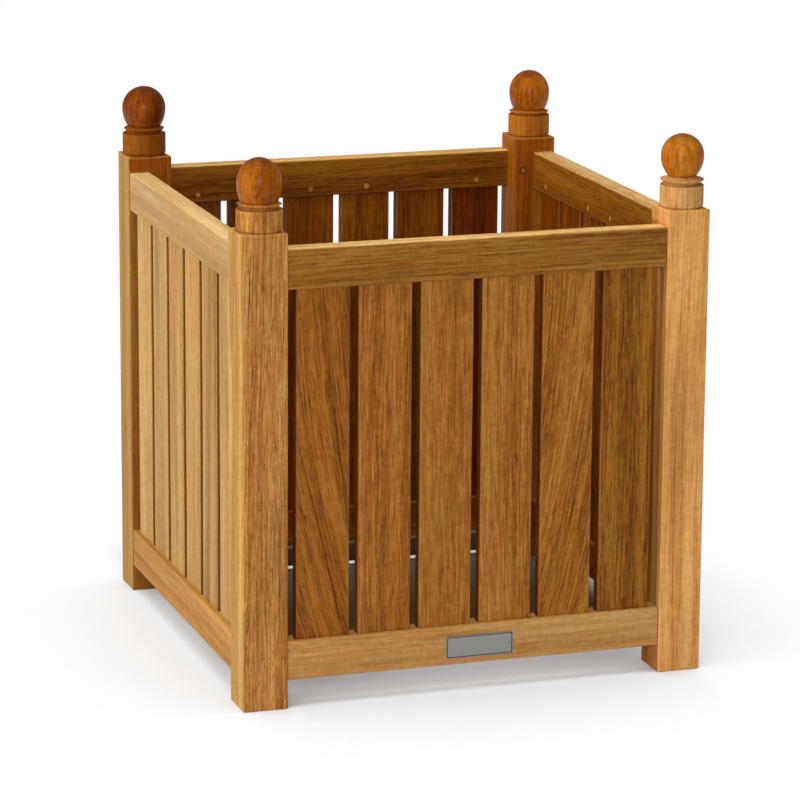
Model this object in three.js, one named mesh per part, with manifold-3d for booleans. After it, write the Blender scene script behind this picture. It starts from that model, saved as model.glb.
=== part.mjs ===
// A square slatted planter in teak: four posts with turned heads and ball finials, and between each
// pair of posts a frame of two rails that house six upright slats. Open at the top and the bottom.
// Millimetres, +Z up. The origin is on the ground at the middle of the planter, the front faces -Y.

import * as THREE from 'three';
import { mergeVertices } from 'three/addons/utils/BufferGeometryUtils.js';
import Module from 'manifold-3d';

// ---- Driving dimensions ------------------------------------------------------------------------

const PLANTER_SIDE = 508; // over the posts, the same both ways
const FIT_GAP = 0.3; // left round every tongue, tenon, dowel and peg, and at every butt joint

const POST_SIDE = 47.5; // square section
const POST_EDGE_RADIUS = 2; // eased long edges
const POST_END_CHAMFER = 1.2; // at the foot and round the shoulder
const SHOULDER_HEIGHT = 502; // from the ground to the top of the square section

const DRUM_RADIUS = 23.1; // the round block turned on the shoulder
const DRUM_HEIGHT = 24.5;
const DRUM_TOP_EASE = 0.6;
const DRUM_GROOVE_DEPTH = 0.9; // scribed ring where the drum leaves the shoulder
const DRUM_GROOVE_HEIGHT = 2.2;
const COVE_RADIUS = 18.4; // waist between the drum and the collar
const COVE_HEIGHT = 2.2;
const RIM_RADIUS = 22.1; // sharp edge of the collar
const RIM_THICKNESS = 0.6;
const COLLAR_FLARE_HEIGHT = 3.6; // from the waist up to the rim
const COLLAR_FLARE_BELLY = 0.35; // share of that height at which the flare is half way out
const COLLAR_CONE_HEIGHT = 2.3; // from the rim up to the ball's seat

const BALL_RADIUS = 22.9;
const BALL_FOOT_ANGLE = 40; // degrees below the waist, where the lower oval ends in a flat foot
const BALL_FOOT_TO_WAIST = 20.5; // the lower part is a longer oval than the upper
const BALL_WAIST_TO_TOP = 24;
const BALL_DOWEL_RADIUS = 6;
const BALL_DOWEL_LENGTH = 24;

const RAIL_HEIGHT = 42;
const RAIL_THICKNESS = 23;
const RAIL_EDGE_RADIUS = 3.5;
const RAIL_INSET = 2; // the rail's outer face lies this far behind the post's
const TOP_RAIL_DROP = 17; // from the shoulder down to the top rail
const FOOT_CLEARANCE = 30; // from the ground up to the bottom rail

const TENON_THICKNESS = 9;
const TENON_SHOULDER = 6; // step above and below the tenon
const TENON_WALL = 3.5; // wood left between the two tenons that meet inside a post
const TENON_PEG_RADIUS = 4.5;
const TENON_PEG_SETBACK = 9.4; // from the post's inner edge to the peg's axis
const TENON_PEG_BITE = 2.5; // how far the peg runs on behind the tenon

const SLAT_COUNT = 6;
const SLAT_THICKNESS = 12;
const SLAT_EDGE_RADIUS = 1.5;
const SLAT_GAP = 9.2; // between two slats
const SLAT_END_GAP = 10.7; // between the outer slats and the posts
const HOUSING_DEPTH = 16; // pocket in a rail for the end of a slat

const SLAT_PIN_RADIUS = 3;
const SLAT_PIN_HEIGHT = 8.5; // above the top rail's lower edge
const SLAT_PIN_BITE = 3; // how far the pin runs on behind the slat
const PEG_END_CHAMFER = 0.5;
const PEG_HOLE_FLARE = 0.7; // countersink that shows as a dark ring round the peg

const TURNING_SEGMENTS = 24;
const PEG_SEGMENTS = 12;
const EDGE_SEGMENTS = 3;
const SLAT_EDGE_SEGMENTS = 2;
const ARC_STEPS = 6;
const CUT_MARGIN = 1; // how far a cutter reaches out past the face it opens

// ---- Sizes that follow ------------------------------------------------------------------------

const HALF_SIDE = PLANTER_SIDE / 2;
const POST_CENTRE = HALF_SIDE - POST_SIDE / 2;
const POST_INNER_FACE = HALF_SIDE - POST_SIDE;
const RAIL_CENTRE = HALF_SIDE - RAIL_INSET - RAIL_THICKNESS / 2;
const RAIL_INNER_FACE = RAIL_CENTRE - RAIL_THICKNESS / 2;
const RAIL_LENGTH = 2 * (POST_INNER_FACE - FIT_GAP);
const TENON_HEIGHT = RAIL_HEIGHT - 2 * TENON_SHOULDER;
const TENON_REACH = RAIL_CENTRE - TENON_THICKNESS / 2 - TENON_WALL; // where a tenon ends
const RAIL_LEVELS = {
  top: SHOULDER_HEIGHT - TOP_RAIL_DROP - RAIL_HEIGHT / 2,
  bottom: FOOT_CLEARANCE + RAIL_HEIGHT / 2,
};

const SLAT_ROW = 2 * POST_INNER_FACE - 2 * SLAT_END_GAP;
const SLAT_WIDTH = (SLAT_ROW - (SLAT_COUNT - 1) * SLAT_GAP) / SLAT_COUNT;
const SLAT_TOP = RAIL_LEVELS.top - RAIL_HEIGHT / 2 + HOUSING_DEPTH - FIT_GAP;
const SLAT_BOTTOM = RAIL_LEVELS.bottom + RAIL_HEIGHT / 2 - HOUSING_DEPTH + FIT_GAP;
const SLAT_CENTRE_HEIGHT = (SLAT_TOP + SLAT_BOTTOM) / 2;
const SLAT_PIN_LEVEL = RAIL_LEVELS.top - RAIL_HEIGHT / 2 + SLAT_PIN_HEIGHT;
const SLAT_PIN_LENGTH = (RAIL_THICKNESS + SLAT_THICKNESS) / 2 + SLAT_PIN_BITE;

const TENON_PEG_CENTRE = POST_INNER_FACE + TENON_PEG_SETBACK;
const TENON_PEG_LENGTH = RAIL_CENTRE + TENON_THICKNESS / 2 - POST_INNER_FACE + TENON_PEG_BITE;

const DRUM_TOP = SHOULDER_HEIGHT + DRUM_HEIGHT;
const COVE_TOP = DRUM_TOP + COVE_HEIGHT;
const RIM_LEVEL = COVE_TOP + COLLAR_FLARE_HEIGHT;
const SEAT_LEVEL = RIM_LEVEL + RIM_THICKNESS + COLLAR_CONE_HEIGHT;
const FOOT_ANGLE = THREE.MathUtils.degToRad(BALL_FOOT_ANGLE);
const SEAT_RADIUS = BALL_RADIUS * Math.cos(FOOT_ANGLE);

// ---- Materials --------------------------------------------------------------------------------

const TEAK = {
  post: new THREE.MeshStandardMaterial({ color: 0xc4935a, roughness: 0.62, metalness: 0 }),
  rail: new THREE.MeshStandardMaterial({ color: 0xbd8a50, roughness: 0.62, metalness: 0 }),
  slat: new THREE.MeshStandardMaterial({ color: 0xa9713b, roughness: 0.65, metalness: 0 }),
  ball: new THREE.MeshStandardMaterial({ color: 0x9c5a22, roughness: 0.34, metalness: 0 }),
  peg: new THREE.MeshStandardMaterial({ color: 0xb98d60, roughness: 0.7, metalness: 0 }),
};

// ---- Solids -----------------------------------------------------------------------------------

const manifold = await Module();
manifold.setup();

// A closed three.js geometry as a solid, with its shared vertices welded and its pole slivers gone.
function solidFrom(geometry) {
  const bare = geometry.index ? geometry.toNonIndexed() : geometry.clone();
  bare.deleteAttribute('normal');
  bare.deleteAttribute('uv');
  const welded = mergeVertices(bare);
  const corners = welded.index.array;
  const kept = [];
  for (let i = 0; i < corners.length; i += 3) {
    const [a, b, c] = [corners[i], corners[i + 1], corners[i + 2]];
    if (a !== b && b !== c && c !== a) kept.push(a, b, c);
  }
  return new manifold.Manifold(new manifold.Mesh({
    numProp: 3,
    vertProperties: new Float32Array(welded.attributes.position.array),
    triVerts: new Uint32Array(kept),
  }));
}

function geometryFrom(solid) {
  const mesh = solid.getMesh();
  const geometry = new THREE.BufferGeometry();
  geometry.setAttribute('position', new THREE.BufferAttribute(mesh.vertProperties, 3));
  geometry.setIndex(new THREE.BufferAttribute(mesh.triVerts, 1));
  geometry.computeVertexNormals();
  return geometry;
}

function block(width, depth, height, x, y, z) {
  return solidFrom(new THREE.BoxGeometry(width, depth, height).translate(x, y, z));
}

// A profile of [radius, height] pairs that starts and ends on the axis, turned about Z.
function turned(profile, segments) {
  const points = profile.map(([radius, height]) => new THREE.Vector2(radius, height));
  return new THREE.LatheGeometry(points, segments).rotateX(Math.PI / 2);
}

// A rectangle with eased corners, centred on the origin.
function easedRectangle(width, height, radius) {
  const shape = new THREE.Shape();
  const x = width / 2 - radius;
  const y = height / 2 - radius;
  const quarter = Math.PI / 2;
  shape.absarc(x, y, radius, 0, quarter);
  shape.absarc(-x, y, radius, quarter, 2 * quarter);
  shape.absarc(-x, -y, radius, 2 * quarter, 3 * quarter);
  shape.absarc(x, -y, radius, 3 * quarter, 4 * quarter);
  return shape;
}

// ---- Pegs and pins ----------------------------------------------------------------------------

// A round peg from the origin along +Y, its showing end just under the face that it is driven into.
function pegGeometry(radius, length) {
  return turned([
    [0, -length],
    [radius, -length],
    [radius, -FIT_GAP - PEG_END_CHAMFER],
    [radius - PEG_END_CHAMFER, -FIT_GAP],
    [0, -FIT_GAP],
  ], PEG_SEGMENTS).rotateX(-Math.PI / 2).rotateZ(Math.PI);
}

// The blind hole for such a peg, countersunk at its mouth.
function pegHoleGeometry(radius, length) {
  const bore = radius + FIT_GAP;
  return turned([
    [0, -length - FIT_GAP],
    [bore, -length - FIT_GAP],
    [bore, -PEG_HOLE_FLARE],
    [bore + PEG_HOLE_FLARE, 0],
    [bore + PEG_HOLE_FLARE, CUT_MARGIN],
    [0, CUT_MARGIN],
  ], PEG_SEGMENTS).rotateX(-Math.PI / 2).rotateZ(Math.PI);
}

// ---- Posts ------------------------------------------------------------------------------------

// The turned head: groove, drum, cove, and the collar that rises to the ball's seat. It is one
// stick with the shaft, so it starts a drum's height below the shoulder.
function headGeometry() {
  const grooveRadius = DRUM_RADIUS - DRUM_GROOVE_DEPTH;
  const root = SHOULDER_HEIGHT - DRUM_HEIGHT;
  return turned([
    [0, root],
    [grooveRadius, root],
    [grooveRadius, SHOULDER_HEIGHT + DRUM_GROOVE_HEIGHT / 2],
    [DRUM_RADIUS, SHOULDER_HEIGHT + DRUM_GROOVE_HEIGHT],
    [DRUM_RADIUS, DRUM_TOP - DRUM_TOP_EASE],
    [DRUM_RADIUS - DRUM_TOP_EASE, DRUM_TOP],
    [COVE_RADIUS, DRUM_TOP],
    [COVE_RADIUS, COVE_TOP],
    [(COVE_RADIUS + RIM_RADIUS) / 2, COVE_TOP + COLLAR_FLARE_HEIGHT * COLLAR_FLARE_BELLY],
    [RIM_RADIUS, RIM_LEVEL],
    [RIM_RADIUS, RIM_LEVEL + RIM_THICKNESS],
    [SEAT_RADIUS, SEAT_LEVEL],
    [0, SEAT_LEVEL],
  ], TURNING_SEGMENTS);
}

// A post at the corner given by the signs: mortises for the two rails at each level, the hole for
// the peg that locks the top rail of the front or back, and the socket for the ball's dowel.
function postSolid(signX, signY) {
  const shaft = new THREE.ExtrudeGeometry(easedRectangle(POST_SIDE, POST_SIDE, POST_EDGE_RADIUS), {
    depth: SHOULDER_HEIGHT - 2 * POST_END_CHAMFER,
    curveSegments: EDGE_SEGMENTS,
    bevelThickness: POST_END_CHAMFER,
    bevelSize: POST_END_CHAMFER,
    bevelOffset: -POST_END_CHAMFER,
    bevelSegments: 1,
  }).translate(0, 0, POST_END_CHAMFER);
  let post = solidFrom(shaft).add(solidFrom(headGeometry()));
  post = post.translate([signX * POST_CENTRE, signY * POST_CENTRE, 0]);

  const socketDepth = BALL_DOWEL_LENGTH + FIT_GAP;
  const socket = new THREE.CylinderGeometry(
    BALL_DOWEL_RADIUS + FIT_GAP, BALL_DOWEL_RADIUS + FIT_GAP, socketDepth + CUT_MARGIN, PEG_SEGMENTS,
  ).rotateX(Math.PI / 2);
  const socketCentre = SEAT_LEVEL - (socketDepth - CUT_MARGIN) / 2;
  socket.translate(signX * POST_CENTRE, signY * POST_CENTRE, socketCentre);
  post = post.subtract(solidFrom(socket));

  const depth = TENON_REACH + FIT_GAP - POST_INNER_FACE + CUT_MARGIN;
  const middle = POST_INNER_FACE - CUT_MARGIN + depth / 2;
  const width = TENON_THICKNESS + 2 * FIT_GAP;
  const height = TENON_HEIGHT + 2 * FIT_GAP;
  for (const level of Object.values(RAIL_LEVELS)) {
    post = post.subtract(block(depth, width, height, signX * middle, signY * RAIL_CENTRE, level));
    post = post.subtract(block(width, depth, height, signX * RAIL_CENTRE, signY * middle, level));
  }

  const hole = pegHoleGeometry(TENON_PEG_RADIUS, TENON_PEG_LENGTH);
  if (signY < 0) hole.rotateZ(Math.PI);
  hole.translate(signX * TENON_PEG_CENTRE, signY * POST_INNER_FACE, RAIL_LEVELS.top);
  return post.subtract(solidFrom(hole));
}

// The ball: two half ovals that meet at the waist, on a flat foot with a dowel under it.
function ballGeometry() {
  const foot = SEAT_LEVEL + FIT_GAP;
  const waist = foot + BALL_FOOT_TO_WAIST;
  const lowerOval = BALL_FOOT_TO_WAIST / Math.sin(FOOT_ANGLE);
  const profile = [
    [0, foot - BALL_DOWEL_LENGTH],
    [BALL_DOWEL_RADIUS, foot - BALL_DOWEL_LENGTH],
    [BALL_DOWEL_RADIUS, foot],
  ];
  for (let step = 0; step < ARC_STEPS; step++) {
    const angle = -FOOT_ANGLE * (1 - step / ARC_STEPS);
    profile.push([BALL_RADIUS * Math.cos(angle), waist + lowerOval * Math.sin(angle)]);
  }
  for (let step = 0; step < ARC_STEPS; step++) {
    const angle = (Math.PI / 2) * (step / ARC_STEPS);
    profile.push([BALL_RADIUS * Math.cos(angle), waist + BALL_WAIST_TO_TOP * Math.sin(angle)]);
  }
  profile.push([0, waist + BALL_WAIST_TO_TOP]);
  return turned(profile, TURNING_SEGMENTS);
}

// ---- Rails and slats --------------------------------------------------------------------------

function slatPlace(index) {
  return (index - (SLAT_COUNT - 1) / 2) * (SLAT_WIDTH + SLAT_GAP);
}

// The two outer slats and the middle ones are pinned to the top rail.
function isPinned(index) {
  const fromMiddle = Math.abs(index - (SLAT_COUNT - 1) / 2);
  return fromMiddle < 1 || index === 0 || index === SLAT_COUNT - 1;
}

// A rail along X, centred on the origin, with a tenon at each end and a housing for each slat in
// the edge that faces the other rail. Only the front and back top rails have pegged tenons.
function railSolid(level, pegged) {
  const section = easedRectangle(RAIL_HEIGHT, RAIL_THICKNESS, RAIL_EDGE_RADIUS);
  const body = new THREE.ExtrudeGeometry(section, {
    depth: RAIL_LENGTH,
    curveSegments: EDGE_SEGMENTS,
    bevelEnabled: false,
  }).translate(0, 0, -RAIL_LENGTH / 2).rotateY(Math.PI / 2);
  let rail = solidFrom(body).add(block(2 * TENON_REACH, TENON_THICKNESS, TENON_HEIGHT, 0, 0, 0));

  const towardSlats = level === 'top' ? -1 : 1;
  const depth = HOUSING_DEPTH + CUT_MARGIN;
  const middle = towardSlats * (RAIL_HEIGHT / 2 + CUT_MARGIN - depth / 2);
  const width = SLAT_WIDTH + 2 * FIT_GAP;
  const thickness = SLAT_THICKNESS + 2 * FIT_GAP;
  for (let index = 0; index < SLAT_COUNT; index++) {
    rail = rail.subtract(block(width, thickness, depth, slatPlace(index), 0, middle));
    if (level === 'top' && isPinned(index)) {
      const hole = pegHoleGeometry(SLAT_PIN_RADIUS, SLAT_PIN_LENGTH).rotateZ(Math.PI);
      hole.translate(slatPlace(index), RAIL_THICKNESS / 2, SLAT_PIN_LEVEL - RAIL_LEVELS.top);
      rail = rail.subtract(solidFrom(hole));
    }
  }
  if (pegged) {
    for (const side of [-1, 1]) {
      const radius = TENON_PEG_RADIUS + FIT_GAP;
      const hole = new THREE.CylinderGeometry(radius, radius, RAIL_THICKNESS, PEG_SEGMENTS);
      rail = rail.subtract(solidFrom(hole.translate(side * TENON_PEG_CENTRE, 0, 0)));
    }
  }
  return rail;
}

// A slat with its length along Z, centred on the origin; a pinned one is bored near its top.
function slatSolid(pinned) {
  const length = SLAT_TOP - SLAT_BOTTOM;
  const section = easedRectangle(SLAT_WIDTH, SLAT_THICKNESS, SLAT_EDGE_RADIUS);
  const board = new THREE.ExtrudeGeometry(section, {
    depth: length,
    curveSegments: SLAT_EDGE_SEGMENTS,
    bevelEnabled: false,
  }).translate(0, 0, -length / 2);
  if (!pinned) return solidFrom(board);
  const radius = SLAT_PIN_RADIUS + FIT_GAP;
  const bore = new THREE.CylinderGeometry(radius, radius, 2 * SLAT_THICKNESS, PEG_SEGMENTS);
  bore.translate(0, 0, SLAT_PIN_LEVEL - SLAT_CENTRE_HEIGHT);
  return solidFrom(board).subtract(solidFrom(bore));
}

// ---- Assembly ---------------------------------------------------------------------------------

const planter = new THREE.Group();

function place(parent, name, geometry, material, position, turn = 0) {
  const mesh = new THREE.Mesh(geometry, material);
  mesh.name = name;
  mesh.position.set(...position);
  mesh.rotation.z = turn;
  parent.add(mesh);
}

const ball = geometryFrom(solidFrom(ballGeometry()));
const tenonPeg = geometryFrom(solidFrom(pegGeometry(TENON_PEG_RADIUS, TENON_PEG_LENGTH)));
for (const [row, signY] of [['front', -1], ['back', 1]]) {
  for (const [hand, signX] of [['left', -1], ['right', 1]]) {
    const corner = `${row}_${hand}`;
    place(planter, `post_${corner}`, geometryFrom(postSolid(signX, signY)), TEAK.post, [0, 0, 0]);
    place(planter, `ball_finial_${corner}`, ball, TEAK.ball, [signX * POST_CENTRE, signY * POST_CENTRE, 0]);
    const mouth = [signX * TENON_PEG_CENTRE, signY * POST_INNER_FACE, RAIL_LEVELS.top];
    place(planter, `tenon_peg_${corner}`, tenonPeg, TEAK.peg, mouth, signY < 0 ? Math.PI : 0);
  }
}

const slats = { plain: geometryFrom(slatSolid(false)), pinned: geometryFrom(slatSolid(true)) };
const slatPin = geometryFrom(solidFrom(pegGeometry(SLAT_PIN_RADIUS, SLAT_PIN_LENGTH)));
const rails = {
  pegged: geometryFrom(railSolid('top', true)),
  plain: geometryFrom(railSolid('top', false)),
  bottom: geometryFrom(railSolid('bottom', false)),
};

// Each side is built as the front and turned into its place, its slats counted from the left as
// seen from outside.
['front', 'right', 'back', 'left'].forEach((side, quarter) => {
  const frame = new THREE.Group();
  frame.rotation.z = quarter * Math.PI / 2;
  planter.add(frame);
  const topRail = side === 'front' || side === 'back' ? rails.pegged : rails.plain;
  place(frame, `top_rail_${side}`, topRail, TEAK.rail, [0, -RAIL_CENTRE, RAIL_LEVELS.top]);
  place(frame, `bottom_rail_${side}`, rails.bottom, TEAK.rail, [0, -RAIL_CENTRE, RAIL_LEVELS.bottom]);
  for (let index = 0; index < SLAT_COUNT; index++) {
    const board = isPinned(index) ? slats.pinned : slats.plain;
    const centre = [slatPlace(index), -RAIL_CENTRE, SLAT_CENTRE_HEIGHT];
    place(frame, `slat_${side}_${index + 1}`, board, TEAK.slat, centre);
    if (isPinned(index)) {
      const mouth = [slatPlace(index), -RAIL_INNER_FACE, SLAT_PIN_LEVEL];
      place(frame, `slat_pin_${side}_${index + 1}`, slatPin, TEAK.peg, mouth, Math.PI);
    }
  }
});

export default planter;
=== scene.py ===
"""Square slatted teak planter: four posts with turned heads and balls, and four framed sides of slats.

Lengths are in metres, +Z is up and the front faces -Y. Each stick of wood is a surface worked out from its
section and its length. It carries attributes that the teak reads: where each point lay in the log before
it was sawn, the board's tone with painted light and shade on some faces, its wear, its dark marks with
painted shade in the heads' coves, and how far each point is from a crack or a knot.
"""

import math
from typing import NamedTuple

import bpy
import numpy as np
from bpy.props import FloatProperty, FloatVectorProperty, PointerProperty
from mathutils import Matrix, Vector


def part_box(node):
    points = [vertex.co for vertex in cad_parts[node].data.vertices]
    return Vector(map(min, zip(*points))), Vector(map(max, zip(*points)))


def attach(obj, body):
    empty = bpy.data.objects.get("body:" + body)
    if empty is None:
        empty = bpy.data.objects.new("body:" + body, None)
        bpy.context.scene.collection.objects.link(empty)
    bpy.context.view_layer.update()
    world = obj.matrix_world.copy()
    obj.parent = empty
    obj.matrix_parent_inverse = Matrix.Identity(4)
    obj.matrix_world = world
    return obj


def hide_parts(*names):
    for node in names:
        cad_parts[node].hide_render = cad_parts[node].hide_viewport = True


bl_info = {
    "name": "Slatted teak planter",
    "version": (1, 0, 0),
    "blender": (4, 5, 0),
    "location": "3D View > Sidebar > Planter",
    "description": "Dresses the planter's frame with sawn and turned teak",
    "category": "Object",
}

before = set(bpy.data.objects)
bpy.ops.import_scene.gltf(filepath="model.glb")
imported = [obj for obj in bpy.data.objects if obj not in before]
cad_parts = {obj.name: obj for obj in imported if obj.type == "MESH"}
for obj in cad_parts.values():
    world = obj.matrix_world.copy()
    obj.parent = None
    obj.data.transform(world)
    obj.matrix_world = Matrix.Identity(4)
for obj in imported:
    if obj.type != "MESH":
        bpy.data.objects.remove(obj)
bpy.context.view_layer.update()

MM = 0.001
SIDES = ("front", "right", "back", "left")
SLATS = 6  # on each side, numbered from the left as seen from outside
CORNERS = {"front_left": (-1, -1), "front_right": (1, -1), "back_left": (-1, 1), "back_right": (1, 1)}


def size_of(node):
    """The extent of a frame node along X, Y and Z."""
    low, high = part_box(node)
    return high - low


# ---- Values that a user would change ------------------------------------------------------------


class PlanterSizes(bpy.types.PropertyGroup):
    """Sizes of the finish that the frame's boxes don't give."""

    post_edge: FloatProperty(
        name="Post edge", description="Radius of the posts' long edges", default=1.3 * MM, min=0,
        unit="LENGTH")
    post_chamfer: FloatProperty(
        name="Post chamfer", description="Bevel round the foot and the shoulder", default=1.1 * MM, min=0,
        unit="LENGTH")
    shoulder: FloatProperty(
        name="Shoulder", description="Height at which the square shaft ends", default=0.502, unit="LENGTH")
    rail_edge: FloatProperty(
        name="Rail edge", description="Radius of the rails' long edges", default=1.5 * MM, min=0,
        unit="LENGTH")
    slat_edge: FloatProperty(
        name="Slat edge", description="Radius of the slats' long edges", default=1.2 * MM, min=0,
        unit="LENGTH")
    housing: FloatProperty(
        name="Housing", description="How deep a slat's end sits in a rail", default=16 * MM, min=0,
        unit="LENGTH")
    joint_gap: FloatProperty(
        name="Joint gap", description="Space left round a slat in its housing and beside a rail's end",
        default=0.3 * MM, min=0, unit="LENGTH")
    waviness: FloatProperty(
        name="Waviness", description="How far a planed face wanders from flat", default=0.12 * MM, min=0,
        unit="LENGTH")
    fineness: FloatProperty(
        name="Fineness", description="Distance between points on a flat face", default=4 * MM, min=0.5 * MM,
        unit="LENGTH")
    plate_width: FloatProperty(
        name="Plate width", description="Width of the bare plate", default=74.5 * MM, unit="LENGTH")
    plate_height: FloatProperty(
        name="Plate height", description="Height of the bare plate", default=24.3 * MM, unit="LENGTH")
    plate_shift: FloatProperty(
        name="Plate shift", description="How far right of the middle the plate sits", default=4.2 * MM,
        unit="LENGTH")


class PlanterTones(bpy.types.PropertyGroup):
    """Colours and scale of the materials."""

    teak_pale: FloatVectorProperty(
        name="Pale teak", description="Lightest fibres", subtype="COLOR", default=(0.66, 0.36, 0.115))
    teak_golden: FloatVectorProperty(
        name="Golden teak", description="Usual light fibres", subtype="COLOR", default=(0.50, 0.215, 0.045))
    teak_brown: FloatVectorProperty(
        name="Brown teak", description="Usual dark fibres", subtype="COLOR", default=(0.32, 0.115, 0.017))
    teak_dark: FloatVectorProperty(
        name="Dark teak", description="Darkest late wood", subtype="COLOR", default=(0.15, 0.048, 0.007))
    pore: FloatVectorProperty(
        name="Pore", description="Colour inside the open pores", subtype="COLOR",
        default=(0.085, 0.028, 0.006))
    fleck: FloatVectorProperty(
        name="Fleck", description="Pale mineral specks in the pores", subtype="COLOR",
        default=(0.62, 0.43, 0.22))
    ring: FloatProperty(
        name="Ring width", description="Usual width of a year ring", default=4.5 * MM, min=0.5 * MM,
        unit="LENGTH")
    plate_metal: FloatVectorProperty(
        name="Plate metal", description="Bare metal of the plate", subtype="COLOR",
        default=(0.42, 0.42, 0.40))
    plate_border: FloatVectorProperty(
        name="Plate border", description="Dark line round the plate", subtype="COLOR",
        default=(0.020, 0.024, 0.026))
    floor: FloatVectorProperty(
        name="Floor", description="Studio floor", subtype="COLOR", default=(0.80, 0.80, 0.80))
    shade_near: FloatVectorProperty(
        name="Shade inside", description="Ground inside, in the wood's shade", subtype="COLOR",
        default=(0.09, 0.058, 0.022))
    shade_far: FloatVectorProperty(
        name="Shade at the back", description="Ground inside, near the back rail", subtype="COLOR",
        default=(0.15, 0.13, 0.095))
    shade_behind: FloatVectorProperty(
        name="Shade behind", description="Ground behind the back rail", subtype="COLOR",
        default=(0.050, 0.035, 0.022))


class PlanterStage(bpy.types.PropertyGroup):
    """Where the camera stands and how strong the lamps are."""

    azimuth: FloatProperty(
        name="Azimuth", description="Camera's turn round the planter", default=math.radians(-18.560),
        unit="ROTATION")
    elevation: FloatProperty(
        name="Elevation", description="Camera's angle above the horizon", default=math.radians(13.793),
        unit="ROTATION")
    roll: FloatProperty(
        name="Roll", description="Camera's turn about its own axis", default=math.radians(0.428),
        unit="ROTATION")
    distance: FloatProperty(
        name="Distance", description="From the camera to its target", default=4.13465, unit="LENGTH")
    target: FloatVectorProperty(
        name="Target", description="Point that the camera looks at", subtype="TRANSLATION",
        default=(-0.00138, 0.0, 0.255400))
    lens: FloatProperty(
        name="Lens", description="Focal length in millimetres on a 36 mm sensor", default=169.208)
    overhead: FloatProperty(
        name="Overhead lamp", description="Power of the lamp above, in watts", default=30.0)
    left: FloatProperty(
        name="Left lamp", description="Power of the lamp at the left, in watts", default=52.0)
    right: FloatProperty(
        name="Right lamp", description="Power of the lamp at the right, in watts", default=10.0)
    behind: FloatProperty(
        name="Back lamp", description="Power of the lamp behind, in watts", default=16.0)
    front: FloatProperty(
        name="Front lamp", description="Power of the lamp over the camera, in watts", default=32.0)
    sky: FloatProperty(
        name="Surroundings", description="Strength of the light from all round", default=0.26)


# ---- How each stick was sawn --------------------------------------------------------------------


class Sawn(NamedTuple):
    """Where a stick lay in the log, and how its wood looks."""

    pith: float  # from the middle of the stick to the middle of the log
    turn: float  # degrees; 0 has the log's middle beside the stick, 90 behind it
    slant: float  # degrees that the fibres lean in the broad face
    dive: float  # degrees that they lean into it, which draws out arches
    sway: float  # sideways bend of the fibres 0.2 m from the stick's middle
    figure: float  # strength of the year rings' dark lines
    place: float  # along the log, so that no two sticks share a stretch of it
    tone: tuple
    inside: tuple  # tone of the faces that look into the planter: the stick's own tone darkened by painted shade
    top: tuple  # tone of a rail's upper face, with painted light or shade, or of a post's turned head, partly painted light and shade
    pores: float = 1.0  # strength of the pores and the fine streaks
    lit_flank: tuple = (1.0, 1.0, 1.0)  # painted light and sheen on a post's outer side face, over its own tone
    shade_lost_above_rails: float = 0.0  # share of a post's painted inside shade that is lost above the rails, where the post stands in the light
    marks: tuple = ()  # cracks and knots, as marks_of() takes them


USUAL_TONE = (0.92, 0.82, 0.55)
USUAL_INSIDE_SHADE = (0.50, 0.33, 0.18)  # painted shade on a face that looks into the planter, over the stick's own tone

# Colour of each stick against the usual teak. The left side's rows and the front right corner's also carry
# painted light and sheen, over the sticks' own tones. Most rows here and in the next two tables were stepped
# by a fitting script, until the stick's mean colour in a render came near the photo's, and then rounded.
TONES_WITH_LIGHT = {
    "post_front_left": (1.06, 1.06, 1.06),
    "post_front_right": (1.59, 1.77, 2.21),
    "post_back_left": (0.81, 0.97, 0.98),
    "ball_finial_front_left": (0.75, 0.47, 0.053),
    "ball_finial_front_right": (1.04, 0.77, 0.22),
    "ball_finial_back_left": (0.46, 0.22, 0.032),
    "ball_finial_back_right": (0.82, 0.52, 0.067),
    "top_rail_front": (0.64, 0.57, 0.32),
    "top_rail_left": (0.9, 1.21, 2.08),
    "bottom_rail_front": (1.16, 1.35, 1.86),
    "bottom_rail_left": (1.0, 1.12, 1.05),
    "slat_front_1": (0.7, 0.53, 0.23),
    "slat_front_2": (0.81, 0.66, 0.41),
    "slat_front_3": (0.84, 0.73, 0.47),
    "slat_front_4": (0.88, 0.79, 0.57),
    "slat_front_5": (0.82, 0.69, 0.38),
    "slat_front_6": (0.61, 0.49, 0.2),
    "slat_left_1": (1.07, 1.4, 2.1),
    "slat_left_2": (0.95, 1.22, 1.77),
    "slat_left_3": (0.95, 1.21, 1.68),
    "slat_left_4": (1.0, 1.24, 1.59),
    "slat_left_5": (0.79, 0.95, 1.19),
    "slat_left_6": (0.98, 1.3, 1.97),
}

# The same for the faces that look into the planter: their tone darkened by painted shade.
INSIDE_SHADE_TONES = {
    "post_front_left": (0.8, 0.7, 0.6),
    "post_front_right": (0.95, 0.74, 0.33),
    "post_back_left": (0.63, 0.36, 0.044),
    "post_back_right": (0.72, 0.43, 0.05),
    "top_rail_back": (0.53, 0.37, 0.082),
    "top_rail_right": (0.55, 0.4, 0.12),
    "bottom_rail_back": (0.75, 0.52, 0.25),
    "slat_back_1": (0.32, 0.14, 0.035),
    "slat_back_2": (0.47, 0.27, 0.035),
    "slat_back_3": (0.6, 0.41, 0.042),
    "slat_back_4": (0.47, 0.26, 0.035),
    "slat_right_5": (0.44, 0.23, 0.031),
    "slat_right_6": (0.44, 0.23, 0.031),
}

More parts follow.
